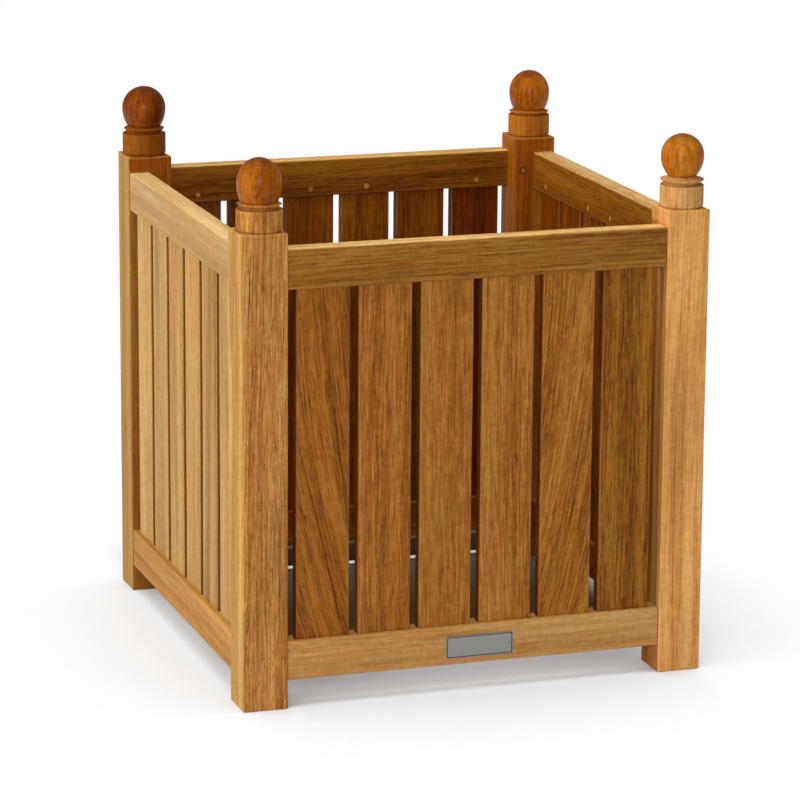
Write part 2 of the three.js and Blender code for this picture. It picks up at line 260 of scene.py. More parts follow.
# The same for rails' upper faces, paler with painted light from above or, on the inner bottom rails, darker
# with painted shade, and for posts' turned heads, whose tone also holds some painted light and shade.
TOPS_WITH_LIGHT_AND_SHADE = {
    "post_front_left": (1.07, 1.02, 0.96),
    "post_front_right": (1.31, 1.55, 2.14),
    "post_back_left": (0.52, 0.32, 0.037),
    "post_back_right": (0.86, 0.63, 0.21),
    "top_rail_front": (1.8, 2.49, 3.7),
    "top_rail_right": (1.5, 2.0, 2.98),
    "top_rail_back": (1.5, 1.9, 2.4),
    "top_rail_left": (1.45, 2.18, 4.07),
    "bottom_rail_back": (0.6, 0.33, 0.1),
    "bottom_rail_right": (0.6, 0.33, 0.1),
}

# How the sticks that the photo shows well were sawn.
KNOWN = {
    "slat_front_1": dict(turn=12.0, slant=-9.6, sway=13 * MM, figure=0.8, pith=0.12,
                         marks=(("crack", -0.0285, 0.0315, 0.0153, -0.154, 0.001),
                                ("crack", 0.0133, 0.045, 0.0279, -0.071, 0.0))),
    "slat_front_2": dict(turn=20.0, slant=0.6, sway=2 * MM, figure=0.5, pith=0.14),
    "slat_front_3": dict(turn=-8.0, slant=0.2, figure=0.2, pores=0.8, pith=0.15),
    "slat_front_4": dict(turn=14.0, slant=-0.3, figure=0.4, pores=0.8, pith=0.13,
                         marks=(("knot", 0.012, -0.012),)),
    "slat_front_5": dict(turn=30.0, slant=9.0, sway=-11 * MM, figure=1.1, pith=0.10),
    "slat_front_6": dict(turn=5.0, slant=0.4, figure=1.1, pores=1.2, pith=0.12),
    "post_front_right": dict(turn=8.0, slant=0.3, figure=0.8, pores=0.3, pith=0.12, shade_lost_above_rails=0.9),
    "post_front_left": dict(turn=25.0, slant=0.8, figure=1.2, pores=1.2, pith=0.09, lit_flank=(0.99, 1.21, 1.32),
                            marks=(("knot", 0.010, 0.030),
                                   ("crack", -0.0172, 0.212, -0.0166, 0.182, 0.0002))),
    "post_back_left": dict(figure=0.6, pores=0.4),
    "post_back_right": dict(figure=0.6, pores=0.4),
    "top_rail_front": dict(figure=1.5, pores=0.7, slant=0.3, dive=1.4, pith=0.06),
    "top_rail_left": dict(figure=0.25, pores=0.15),
    "bottom_rail_front": dict(figure=0.3, pores=0.25, slant=0.2),
    "bottom_rail_left": dict(figure=0.6, pores=0.3),
    **{f"slat_left_{number}": dict(figure=0.2, pores=0.1) for number in range(1, SLATS + 1)},
    "slat_left_5": dict(figure=0.8, pores=0.3),
    **{f"ball_finial_{corner}": dict(figure=0.7, pores=0.25) for corner in CORNERS},
}


def sawn_for(name, seed, **usual):
    """How a stick was sawn: drawn from its own seed, then overruled by what is known of it."""
    chance = np.random.default_rng(seed)
    light = chance.uniform(0.92, 1.08)
    shade = light * np.array([1.0, chance.uniform(0.95, 1.05), chance.uniform(0.88, 1.12)]) * USUAL_TONE
    tone = TONES_WITH_LIGHT.get(name, tuple(shade))
    drawn = dict(
        pith=chance.uniform(0.07, 0.16),
        turn=chance.choice([-1, 1]) * chance.uniform(5, 75),
        slant=chance.uniform(-1.2, 1.2),
        dive=chance.uniform(-1.0, 1.0),
        sway=chance.uniform(-2, 2) * MM,
        figure=chance.uniform(0.7, 1.2),
        place=1.7 * seed,
        tone=tone,
        inside=INSIDE_SHADE_TONES.get(name, tuple(shade * USUAL_INSIDE_SHADE)),
        top=TOPS_WITH_LIGHT_AND_SHADE.get(name, tone),
    )
    return Sawn(**{**drawn, **usual, **KNOWN.get(name, {})})


# ---- Surfaces -----------------------------------------------------------------------------------

SHARP_EDGE = 34.0  # degrees between faces, from which an edge is drawn sharp
BLOTCH_LIGHT = 0.045  # by which a stick's slow blotches are lighter or darker
BLOTCH_WARMTH = np.array([0.0075, -0.003, -0.024])  # and by which they are warmer or cooler
END_BEVEL = 0.5 * MM  # round the ends of rails and slats
STICK_WEAR = 0.35  # on the long edges of rails and slats
POST_WEAR = 0.25  # on the posts' long edges
CRACK_TAPER = 0.12  # how fast a crack narrows past its ends
CRACK_OVERSHOOT = 20 * MM  # where it has gone
KNOT_STRETCH = 0.6  # width of a knot over its length
SHOULDER_WEAR = 0.6  # round a post's shoulder
COVE_SHADE_AND_FIBRES = 0.35  # painted shade, and torn fibres, in a head's groove and cove
SHADE_LOST_PAST_RAILS = 0.4  # share of the painted inside shade lost where a post's inner face stands out past the rails into the light
FLANK_POLISH = 0.7  # share of the pores lost on a post's outer side face


def run(start, end, step, stops=(), margin=1.2 * MM):
    """Places from start to end about a step apart, with one a margin inside each end and one at each stop."""
    inner = np.linspace(start + margin, end - margin, max(2, int(round((end - start) / step)) + 1))
    stops = np.asarray(stops, float)
    if len(stops):
        inner = inner[np.min(np.abs(inner[:, None] - stops[None, :]), axis=1) > 0.25 * step]
    return np.sort(np.concatenate([[start], inner, stops, [end]]))


def section_of(across, through, radius, step, arc=5, stops=()):
    """Outline of a stick, anticlockwise: a rectangle whose corners are quarter circles.

    Each straight run is cut by run(), and the stops fall on the two narrow faces. Returns the points, the
    outward direction at each, and the wear there, which is 1 on the corners and 0 on the flats.
    """
    x, y = across / 2, through / 2
    broad = run(-x + radius, x - radius, step)
    narrow = run(-y + radius, y - radius, step, stops)
    quarter = np.linspace(0, math.pi / 2, arc + 1)[1:-1]
    points, outward, wear = [], [], []

    def straight(px, py, nx, ny):
        count = max(np.size(px), np.size(py))
        points.append(np.stack(np.broadcast_arrays(px, py), -1) * np.ones((count, 1)))
        outward.append(np.tile([nx, ny], (count, 1)))
        wear.append(np.r_[1.0, np.zeros(count - 2), 1.0])

    def corner(cx, cy, first):
        way = np.stack([np.cos(quarter + first), np.sin(quarter + first)], -1)
        points.append(np.array([cx, cy]) + radius * way)
        outward.append(way)
        wear.append(np.ones(len(way)))

    straight(broad, -y, 0, -1)
    corner(x - radius, radius - y, -math.pi / 2)
    straight(x, narrow, 1, 0)
    corner(x - radius, y - radius, 0)
    straight(broad[::-1], y, 0, 1)
    corner(radius - x, y - radius, math.pi / 2)
    straight(-x, narrow[::-1], -1, 0)
    corner(radius - x, radius - y, math.pi)
    return np.concatenate(points), np.concatenate(outward), np.concatenate(wear)


def drift(points, size, seed):
    """Slow change from place to place, about -1 to 1: the mean of eight waves of random heading.

    A wave's length along each axis is about the size given for it, and the seed sets heading and phase.
    """
    chance = np.random.default_rng(seed)
    waves = chance.normal(size=(8, 3)) / np.asarray(size) * 3.0
    phase = chance.uniform(0, 2 * math.pi, 8)
    return np.sin(points @ waves.T + phase).sum(-1) / math.sqrt(8) * 0.9


def grain_of(local, sawn):
    """Where points of a stick lay in the log, as two distances across it and one along.

    A point's across and through are sheared by the slant, the dive and a parabola of sway along the stick,
    turned round the stick's length, and moved out from the log's middle by the pith distance.
    """
    across, through, along = local[..., 0], local[..., 1], local[..., 2]
    across = across - math.tan(math.radians(sawn.slant)) * along - sawn.sway * (along / 0.2) ** 2
    through = through - math.tan(math.radians(sawn.dive)) * along
    turn = math.radians(sawn.turn)
    out = across * math.cos(turn) + through * math.sin(turn) + sawn.pith
    aside = through * math.cos(turn) - across * math.sin(turn)
    return np.stack([out, aside, along + sawn.place], -1)


def tint_of(local, sawn, seed, within=0.0, above=0.0):
    """Colour multiplier of a stick: its own tone with slow blotches of light and of warmth along it.

    Within is 1 on faces that look into the planter, where the inside tone adds painted shade. Above is 1 on a
    rail's upper face or a post's turned head, where the top tone adds painted light or shade. Each is 0 on
    the rest.
    """
    light = 1 + BLOTCH_LIGHT * drift(local, (0.05, 0.05, 0.22), seed + 500)[..., None]
    change = light * (1 + drift(local, (0.06, 0.06, 0.3), seed + 900)[..., None] * BLOTCH_WARMTH)
    within, above = (np.broadcast_to(share, local.shape[:2])[..., None] for share in (within, above))
    tone = np.array(sawn.tone) * (1 - within) + np.array(sawn.inside) * within
    return change * (tone * (1 - above) + np.array(sawn.top) * above)


def look_of(wear, sawn, dark_marks_and_shade=0.0):
    """Wear, strength of figure, dark marks with painted shade, and strength of pores at each point."""
    return np.stack(np.broadcast_arrays(wear, sawn.figure, dark_marks_and_shade, sawn.pores), -1)


def marks_of(local, marks):
    """Distance from a stick's nearest crack, and the way from its nearest knot, for the teak to draw.

    A crack is the across and the along of its two ends, and its bow: a parabola between them. Past an end the
    distance grows with the overshoot, which draws the crack to a point. A knot is (across, along), and its
    way is shortened along the stick, which draws it out. Both show only on the outer face, and where there is
    none the distance is a metre or more.
    """
    across, through, along = local[..., 0], local[..., 1], local[..., 2]
    seam = np.ones(across.shape)
    knot = np.ones(local.shape)
    outer = through < 0
    for kind, start_across, start_along, *values in marks:
        if kind == "crack":
            end_across, end_along, bow = values
            length = abs(end_along - start_along)
            share = (along - start_along) / (end_along - start_along)
            line = start_across + (end_across - start_across) * share + bow * 4 * share * (1 - share)
            off = (across - line) * math.cos(math.atan2(end_across - start_across, length))
            past = np.maximum(np.maximum(-share, share - 1), 0) * length
            found = np.sign(off) * (np.abs(off) + CRACK_TAPER * past)
            use = outer & (np.abs(found) < np.abs(seam)) & (past < CRACK_OVERSHOOT)
            seam = np.where(use, found, seam)
        else:
            drawn_out = (along - start_along) * KNOT_STRETCH
            way = np.stack([across - start_across, np.zeros_like(across), drawn_out], -1)
            use = outer & (np.linalg.norm(way, axis=-1) < np.linalg.norm(knot, axis=-1))
            knot = np.where(use[..., None], way, knot)
    return seam[..., None], knot


def closed_tube(name, rings, grain, tint, look, seam=None, knot=None):
    """A mesh from a grid of points, stations by places round, closed by a fan to the middle of each end.

    Four neighbours on the grid make a face. The whole is turned inside out if its volume, the sum of the
    faces' corner products, comes out negative.
    """
    stations, around = rings.shape[:2]
    index = np.arange(stations * around).reshape(stations, around)
    beside = np.roll(index, -1, axis=1)
    quads = np.stack([index[:-1], beside[:-1], beside[1:], index[1:]], -1).reshape(-1, 4)
    first, last = stations * around, stations * around + 1
    start = np.stack([beside[0], index[0], np.full(around, first)], -1)
    end = np.stack([index[-1], beside[-1], np.full(around, last)], -1)

    def with_ends(values):
        flat = values.reshape(stations * around, -1)
        return np.concatenate([flat, values[0].reshape(around, -1).mean(0, keepdims=True),
                               values[-1].reshape(around, -1).mean(0, keepdims=True)])

    points = with_ends(rings)
    middle = points - points.mean(0)
    fan = np.concatenate([start, end, quads[:, :3], quads[:, [0, 2, 3]]])
    a, b, c = middle[fan[:, 0]], middle[fan[:, 1]], middle[fan[:, 2]]
    if np.einsum("ij,ij->i", a, np.cross(b, c)).sum() < 0:
        quads, start, end = quads[:, ::-1], start[:, ::-1], end[:, ::-1]
    mesh = bpy.data.meshes.new(name)
    mesh.from_pydata(points.tolist(), [], quads.tolist() + start.tolist() + end.tolist())
    mesh.polygons.foreach_set("use_smooth", np.ones(len(mesh.polygons), bool))
    seam = np.ones(rings.shape[:2] + (1,)) if seam is None else seam
    knot = np.ones_like(rings) if knot is None else knot
    for label, values in (("grain", grain), ("tint", tint), ("look", look[..., :3]), ("knot", knot)):
        layer = mesh.attributes.new(label, "FLOAT_VECTOR", "POINT")
        layer.data.foreach_set("vector", with_ends(values).astype(np.float32).ravel())
    for label, values in (("seam", seam), ("pores", look[..., 3:])):
        layer = mesh.attributes.new(label, "FLOAT", "POINT")
        layer.data.foreach_set("value", with_ends(values).astype(np.float32).ravel())
    mesh.update()
    mesh.set_sharp_from_angle(angle=math.radians(SHARP_EDGE))
    piece = bpy.data.objects.new(name, mesh)
    bpy.context.scene.collection.objects.link(piece)
    return piece


def settle(piece, material, node=None):
    """Gives a piece its material, hangs it on the frame's one body and stands it in for its node."""
    piece.data.materials.append(material)
    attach(piece, "root")
    if node:
        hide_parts(node)


def to_side(points, quarter):
    """Turns points of the front side by quarter turns about Z to their own side."""
    turn = quarter * math.pi / 2
    c, s = round(math.cos(turn)), round(math.sin(turn))
    x, y, z = points[..., 0], points[..., 1], points[..., 2]
    return np.stack([c * x - s * y, s * x + c * y, z], -1)


def stick(across, through, length, radius, sawn, seed, sizes, housings=(), housing_side=0):
    """The surface of a straight stick: its section carried along its length, local Z.

    The outline shrinks by a small bevel at the very ends and wanders by the waviness. On one narrow face it
    is pushed in by the housing depth wherever the point lies in a housing, a pair of places along the stick.
    """
    hair = 0.01 * MM
    edges, cuts = [], []
    mouth = 0.0
    if housings:
        mouth = size_of("slat_front_1").y / 2 + sizes.joint_gap
        edges = [-mouth - hair, -mouth + hair, mouth - hair, mouth + hair]
        cuts = [edge + way for pair in housings for edge in pair for way in (-hair, hair)]
    outline, outward, wear = section_of(across, through, radius, sizes.fineness, stops=edges)
    stations = run(-length / 2, length / 2, sizes.fineness * 1.2, cuts, margin=0.6 * MM)
    bevel = np.where(np.abs(stations) > length / 2 - 0.3 * MM, END_BEVEL, 0.0)
    local = np.zeros((len(stations), len(outline), 3))
    local[..., :2] = outline[None] - bevel[:, None, None] * outward[None]
    local[..., 2] = stations[:, None]
    wander = drift(local, (0.05, 0.05, 0.16), seed + 40) * sizes.waviness
    local[..., :2] += wander[..., None] * outward[None]
    for low, high in housings:
        inside = (stations > low)[:, None] & (stations < high)[:, None]
        inside = inside & (np.abs(outline[:, 1]) < mouth)[None] & (outward[:, 0] * housing_side > 0.9)[None]
        local[..., 0] -= np.where(inside, housing_side * sizes.housing, 0.0)
    grain = grain_of(local, sawn)
    # Faces that look into the planter take the painted inside shade, and a rail's upper face takes the
    # painted top light or shade.
    facing_in = np.maximum(np.clip(outward[:, 1], 0, 1), np.abs(outward[:, 0]) * (not housings))
    facing_up = np.clip(outward[:, 0], 0, 1) ** 2 * bool(housings)
    tint = tint_of(local, sawn, seed, facing_in[None], facing_up[None])
    worn = np.tile(STICK_WEAR * wear, (len(stations), 1))
    return local, grain, tint, look_of(worn, sawn), *marks_of(local, sawn.marks)


# ---- Posts and balls ----------------------------------------------------------------------------


class Head(NamedTuple):
    """A post's turned head. The four differ a little, as hand turning leaves them."""

    drum: float  # radius
    rim: float
    rim_level: float
    seat: float
    seat_level: float
    ball: float
    waist: float
    top: float
    foot: float
    drum_top: float = 526.2 * MM
    cove: float = 18.6 * MM
    flare: float = 0.75  # below 1 the cove swells towards the rim, above 1 it leaves a thin disc
    stray: tuple = (0.0, 0.0)  # how far the outer side face stands off at the foot and at the shoulder
    splay: float = 0.0  # how far the shaft's inner corner stands inwards along X
    aside: float = 0.0  # how far the head and the ball stand inwards along X


HEADS = {
    "front_left": Head(
        drum=23.9 * MM, drum_top=524.6 * MM, cove=18.0 * MM, flare=2.4, rim=22.6 * MM, rim_level=529.7 * MM,
        seat=18.6 * MM, seat_level=531.3 * MM, foot=18.9 * MM, ball=23.2 * MM, waist=550.2 * MM,
        top=576.8 * MM, stray=(0.6 * MM, 2.2 * MM), aside=0.5 * MM),
    "front_right": Head(
        drum=22.9 * MM, drum_top=525.8 * MM, flare=0.95, rim=22.9 * MM, rim_level=531.4 * MM,
        seat=14.6 * MM, seat_level=534.8 * MM, foot=14.4 * MM, ball=22.6 * MM, waist=556.2 * MM,
        top=579.2 * MM, stray=(0.2 * MM, -1.5 * MM)),
    "back_left": Head(
        drum=24.0 * MM, rim=22.2 * MM, rim_level=531.7 * MM, seat=17.6 * MM, seat_level=534.0 * MM,
        foot=18.2 * MM, ball=24.2 * MM, waist=554.2 * MM, top=578.4 * MM, stray=(-1.0 * MM, -1.1 * MM),
        splay=3.0 * MM, aside=1.4 * MM),
    "back_right": Head(
        drum=23.6 * MM, rim=22.4 * MM, rim_level=530.0 * MM, seat=17.4 * MM, seat_level=532.4 * MM,
        foot=18.0 * MM, ball=23.0 * MM, waist=552.2 * MM, top=577.2 * MM, splay=3.0 * MM, aside=-0.4 * MM),
}


def head_profile(head, shoulder):
    """Radius and height of the turned head: groove, drum, cove, flare to the rim, and cone up to the seat.

    The drum's upper edge is a quarter circle, and the flare and the cone follow powers of their height.
    """
    ease = 0.7 * MM
    neck = head.drum_top + 2.0 * MM
    brim = head.rim_level + 0.4 * MM
    points = [
        (head.drum - 1.1 * MM, shoulder),
        (head.drum - 1.2 * MM, shoulder + 0.5 * MM),
        (head.drum - 0.9 * MM, shoulder + 1.2 * MM),
        (head.drum - 0.25 * MM, shoulder + 1.9 * MM),
        (head.drum, shoulder + 2.7 * MM),
    ]
    points += [(head.drum, level) for level in np.linspace(shoulder + 4 * MM, head.drum_top - 1.6 * MM, 8)]
    points += [(head.drum - ease * (1 - math.cos(turn)), head.drum_top - ease * (1 - math.sin(turn)))
               for turn in np.linspace(0.2, math.pi / 2, 4)]
    points += [(head.cove + 0.8 * MM, head.drum_top), (head.cove, head.drum_top + 0.5 * MM),
               (head.cove, head.drum_top + 1.6 * MM)]
    flare = head.rim_level - 0.4 * MM - neck
    points += [(head.cove + (head.rim - head.cove) * share ** head.flare, neck + flare * share ** 1.15)
               for share in np.linspace(0, 1, 6)]
    points += [(head.rim + 0.15 * MM, head.rim_level), (head.rim - 0.15 * MM, head.rim_level + 0.35 * MM)]
    points += [(head.rim + (head.seat - head.rim) * share, brim + (head.seat_level - brim) * share ** 1.4)
               for share in np.linspace(0, 1, 5)[1:]]
    return np.array(points)


def post_levels(profile, sizes):
    """Heights of a post's grid, how far each level of the shaft is bevelled in, and which are the shaft's."""
    bevel, shoulder = sizes.post_chamfer, sizes.shoulder
    shaft = run(bevel, shoulder - bevel, sizes.fineness * 1.3)
    levels = np.concatenate([[0.0, 0.35 * bevel], shaft, [shoulder - 0.35 * bevel, shoulder]])
    inset = np.concatenate([[bevel, 0.35 * bevel], np.zeros(len(shaft)), [0.35 * bevel, bevel]])
    heights = np.concatenate([levels, profile[:, 1]])
    return heights, inset, np.arange(len(heights)) < len(levels)


def inside_shade_of(outline, outward, heights, centre, sawn):
    """How much of its inside tone, which is painted shade, each point of a post has.

    It is whole on the faces that look to the planter's middle, less where they stand out past the rails'
    inner faces into the light, and less again above the rails by the share of shade lost there.
    """
    within = np.clip(-(outward @ np.sign(centre[:2])), 0, 1)[None]
    over_rails = (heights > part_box("top_rail_front")[1].z)[:, None]
    within = within * (1 - sawn.shade_lost_above_rails * over_rails)
    sideways = np.abs(outward[:, 0]) > np.abs(outward[:, 1])
    reach = np.abs(np.where(sideways, outline[:, 1] + centre[1], outline[:, 0] + centre[0]))
    past_rails = (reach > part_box("top_rail_right")[0].x)[None]
    return within * (1 - SHADE_LOST_PAST_RAILS * past_rails * ~over_rails)


def post_surface(sign_x, sign_y, head, sawn, seed, sizes):
    """The surface of a post: a rounded square carried up to the shoulder, then circles of the head's radii.

    A circle's points keep the bearings of the square's, so that the grid runs through from foot to seat. The
    shaft's outer side face leans by the stray, its inner corner stands in by the splay, and the head stands
    aside.
    """
    side = size_of("post_front_left").x
    outline, outward, wear = section_of(side, side, sizes.post_edge, sizes.fineness * 0.6, arc=6)
    bearing = np.arctan2(outline[:, 1], outline[:, 0])
    profile = head_profile(head, sizes.shoulder)
    heights, inset, on_shaft = post_levels(profile, sizes)
    square = outline[None] - inset[:, None, None] * outward[None]
    circle = profile[:, 0][:, None, None] * np.stack([np.cos(bearing), np.sin(bearing)], -1)[None]
    local = np.zeros((len(heights), len(outline), 3))
    local[..., :2] = np.concatenate([square, circle])
    local[..., 2] = heights[:, None]
    shaft = on_shaft[:, None]
    wander = drift(local, (0.05, 0.05, 0.15), seed + 40) * sizes.waviness * shaft
    local[..., :2] += wander[..., None] * outward[None]
    outer = np.clip(outward[:, 0] * sign_x, 0, 1)[None]
    leaning = head.stray[0] + (head.stray[1] - head.stray[0]) * heights / sizes.shoulder
    local[..., 0] += sign_x * leaning[:, None] * shaft * outer
    inner_edge = np.clip(0.5 - outline[:, 1] * sign_y / side, 0, 1) * np.clip(-outward[:, 0] * sign_x, 0, 1)
    local[..., 0] -= sign_x * head.splay * shaft * inner_edge[None]
    local[..., 0] -= sign_x * head.aside * ~shaft
    local[heights == 0, :, 2] = 0.0

    at_shoulder = (np.abs(heights - sizes.shoulder) < 1.2 * sizes.post_chamfer)[:, None]
    worn = np.where(shaft, np.maximum(POST_WEAR * wear[None], SHOULDER_WEAR * at_shoulder), 0.0)
    # The head's groove and cove are darkened: painted shade there, and torn fibres.
    hollow = (profile[:, 0] < head.drum - 0.6 * MM) & (profile[:, 1] < head.drum_top + 2.2 * MM)
    dark_marks_and_shade = np.concatenate([np.zeros(np.sum(on_shaft)), COVE_SHADE_AND_FIBRES * hollow])[:, None]
    centre = np.array([sign_x, sign_y, 0]) * (abs(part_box("post_front_left")[0].x) - side / 2)
    # The inner faces take the painted inside shade, and the head takes the top tone with its painted light
    # and shade.
    within = inside_shade_of(outline, outward, heights, centre, sawn) * shaft
    lit_flank = outer * shaft
    tint = tint_of(local, sawn, seed, within, ~shaft)
    # Painted light and sheen on the outer side face.
    tint = tint * (1 + (np.array(sawn.lit_flank) - 1) * lit_flank[..., None])
    look = look_of(worn, sawn, dark_marks_and_shade)
    look[..., 3] *= 1 - FLANK_POLISH * lit_flank
    from_middle = local - np.array([0, 0, sizes.shoulder / 2])
    return local + centre, grain_of(from_middle, sawn), tint, look, *marks_of(from_middle, sawn.marks)


def ball_surface(head, sawn, seed):
    """The surface of a ball: a long lower oval and a shorter upper one, met at the waist, spun round Z.

    Its crown is darker, because the cut ends of the fibres drink more of the finish.
    """
    low = math.acos(min(1.0, head.foot / head.ball))
    depth = (head.waist - head.seat_level) / math.sin(low)
    lower = np.linspace(-low, 0, 22)[:-1]
    upper = np.linspace(0, math.pi / 2, 22)[:-1]
    radius = head.ball * np.cos(np.concatenate([lower, upper]))
    level = head.waist + np.concatenate([depth * np.sin(lower), (head.top - head.waist) * np.sin(upper)])
    radius = np.concatenate([[head.foot - 0.8 * MM, head.foot - 0.2 * MM], radius[1:]])
    level = np.concatenate([[head.seat_level - 0.1 * MM, head.seat_level + 0.2 * MM], level[1:]])
    local = spun(np.stack([radius, level], -1))
    grain = grain_of(local - np.array([0, 0, head.waist]), sawn)
    crown = np.clip((local[..., 2] - head.waist) / (head.top - head.waist), 0, 1) ** 3
    tint = tint_of(local, sawn, seed) * (1 - 0.45 * crown[..., None])
    return local, grain, tint, look_of(np.zeros(local.shape[:2]), sawn)


def peg_surface(radius, length, ring, sawn, seed):
    """The surface of a peg whose end stands just proud of level 0: a low dome inside a dark bead of glue.

    Its length lies along local Z, below the level.
    """
    dome = np.linspace(0, 1, 7)[:-1]
    profile = np.array(
        [(radius - 0.4 * MM, -length), (radius, 0.6 * MM - length), (radius, -1.0 * MM), (radius, 0.30 * MM),
         (radius - 0.15 * MM, 0.40 * MM), (radius - ring, 0.38 * MM), (radius - ring - 0.08 * MM, 0.40 * MM)]
        + [((radius - ring - 0.15 * MM) * (1 - t), 0.42 * MM + 0.22 * MM * t * (2 - t)) for t in dome])
    local = spun(profile, around=40)
    dark_marks_and_shade = np.where(np.arange(len(profile)) < 6, 1.0, 0.0)[:, None]
    look = look_of(np.zeros(local.shape[:2]), sawn, dark_marks_and_shade)
    return local, grain_of(local, sawn), tint_of(local, sawn, seed), look


def spun(profile, around=72):
    """Circles of the profile's radii at its levels, about local Z."""
    bearing = np.linspace(0, 2 * math.pi, around, endpoint=False)
    circle = np.stack([np.cos(bearing), np.sin(bearing), np.zeros(around)], -1)
    return profile[:, 0][:, None, None] * circle[None] + profile[:, 1][:, None, None] * np.array([0, 0, 1.0])


# ---- Materials ----------------------------------------------------------------------------------


def blank(name):
    """A new material with an empty node tree."""
    material = bpy.data.materials.new(name)
    material.use_nodes = True
    material.node_tree.nodes.clear()
    return material, material.node_tree


def feed(tree, socket, given):
    """Joins an output to a socket, or writes a constant into it."""
    if isinstance(given, bpy.types.NodeSocket):
        tree.links.new(given, socket)
    else:
        socket.default_value = given


def reckon(tree, operation, *given, clamp=False):
    """One step of arithmetic on one to three values."""
    node = tree.nodes.new("ShaderNodeMath")
    node.operation = operation
    node.use_clamp = clamp
    for socket, value in zip(node.inputs, given):
        feed(tree, socket, value)
    return node.outputs[0]


def reckon_vector(tree, operation, *given, output=0):
    """One step of vector arithmetic."""
    node = tree.nodes.new("ShaderNodeVectorMath")
    node.operation = operation
    for socket, value in zip(node.inputs, given):
        feed(tree, socket, value)
    return node.outputs[output]


def times(tree, first, *more):
    """The product of two or more values."""
    for value in more:
        first = reckon(tree, "MULTIPLY", first, value)
    return first


def swing(tree, noisy, reach):
    """Noise shifted to lie about nought, times its reach."""
    return times(tree, reckon(tree, "SUBTRACT", noisy, 0.5), reach)


def rest_of(tree, share):
    """What a share leaves of 1."""
    return reckon(tree, "SUBTRACT", 1.0, share)


def between(tree, value, low, high):
    """0 before low, 1 from high on, eased between them. High may be the smaller of the two."""
    node = tree.nodes.new("ShaderNodeMapRange")
    node.interpolation_type = "SMOOTHSTEP"
    feed(tree, node.inputs["Value"], value)
    feed(tree, node.inputs["From Min"], low)
    feed(tree, node.inputs["From Max"], high)
    return node.outputs["Result"]


def plateau(tree, value, rise, fall):
    """1 between two slopes, 0 outside them. A slope is the value where it is 0 and the one where it is 1."""
    return times(tree, between(tree, value, *rise), between(tree, value, *fall))


def blend_colour(tree, share, first, second, kind="MIX"):
    """Mixes two colours by a share."""
    node = tree.nodes.new("ShaderNodeMix")
    node.data_type = "RGBA"
    node.blend_type = kind
    feed(tree, node.inputs["Factor"], share)
    feed(tree, node.inputs[6], first)
    feed(tree, node.inputs[7], second)
    return node.outputs[2]


def attribute(tree, label, output="Vector"):
    """An attribute that the mesh carries."""
    node = tree.nodes.new("ShaderNodeAttribute")
    node.attribute_name = label
    return node.outputs[output]


def apart(tree, vector):
    """The three parts of a vector."""
    node = tree.nodes.new("ShaderNodeSeparateXYZ")
    feed(tree, node.inputs["Vector"], vector)
    return node.outputs


def noise(tree, place, scale, detail=2.0, roughness=0.5, output="Fac"):
    """Noise at a place that is first multiplied by the scale of each axis."""
    node = tree.nodes.new("ShaderNodeTexNoise")
    node.inputs["Scale"].default_value = 1.0
    node.inputs["Detail"].default_value = detail
    node.inputs["Roughness"].default_value = roughness
    feed(tree, node.inputs["Vector"], reckon_vector(tree, "MULTIPLY", place, scale))
    return node.outputs[output]


def fibres(tree, place, across, along, detail=2.0, roughness=0.5):
    """Noise drawn out along the fibres, its blotches about across wide and along long."""
    return noise(tree, place, (1 / across, 1 / across, 1 / along), detail, roughness)


def relief(tree, height, strength, depth):
    """The normal of a surface pressed out by a height."""
    bump = tree.nodes.new("ShaderNodeBump")
    bump.inputs["Strength"].default_value = strength
    bump.inputs["Distance"].default_value = depth
    feed(tree, bump.inputs["Height"], height)
    return bump.outputs["Normal"]


def show(tree, shader, output="ShaderNodeOutputMaterial"):
    """Makes a shader what the tree shows."""
    feed(tree, tree.nodes.new(output).inputs["Surface"], shader)


def seen_share(tree, mirrored):
    """1 for what the camera sees straight or through clear things, and a smaller share for mirror images."""
    rays = tree.nodes.new("ShaderNodeLightPath")
    mirrored = times(tree, rays.outputs["Is Glossy Ray"], mirrored)
    seen = reckon(tree, "MAXIMUM", rays.outputs["Is Camera Ray"], mirrored)
    return reckon(tree, "MAXIMUM", seen, rays.outputs["Is Transmission Ray"])


def colour(value):
    """Red, green and blue with full cover."""
    return (*value, 1.0)


def shaken(tree, place):
    """A place in the log, moved across it by up to a few millimetres of slow noise."""
    shake = noise(tree, place, (30.0, 30.0, 5.0), detail=1.5, output="Color")
    moved = reckon_vector(tree, "SUBTRACT", shake, (0.5, 0.5, 0.5))
    moved = reckon_vector(tree, "MULTIPLY", moved, (6 * MM, 6 * MM, 0.0))
    return reckon_vector(tree, "ADD", place, moved)


def year_rings(tree, place, ring):
    """How far a place is in late wood, and how far in the open wood that begins a ring.

    The distance from the log's middle, made uneven along the log, is counted in rings. Late wood swells
    towards a ring's end, breaks off there, and has a strength of its own in every ring.
    """
    flat = reckon_vector(tree, "MULTIPLY", place, (1.0, 1.0, 0.0))
    years = reckon(tree, "DIVIDE", reckon_vector(tree, "LENGTH", flat, output=1), ring)
    uneven = fibres(tree, place, 14 * MM, 0.9, detail=1.0)
    years = reckon(tree, "ADD", years, times(tree, uneven, 2.2))
    age = reckon(tree, "FRACT", years)
    year = tree.nodes.new("ShaderNodeTexWhiteNoise")
    year.noise_dimensions = "1D"
    feed(tree, year.inputs["W"], reckon(tree, "FLOOR", years))
    strength = reckon(tree, "MULTIPLY_ADD", year.outputs["Value"], 0.8, 0.2)
    late = times(tree, plateau(tree, age, (0.35, 0.93), (1.0, 0.95)), strength)
    return late, between(tree, age, 0.30, 0.0)


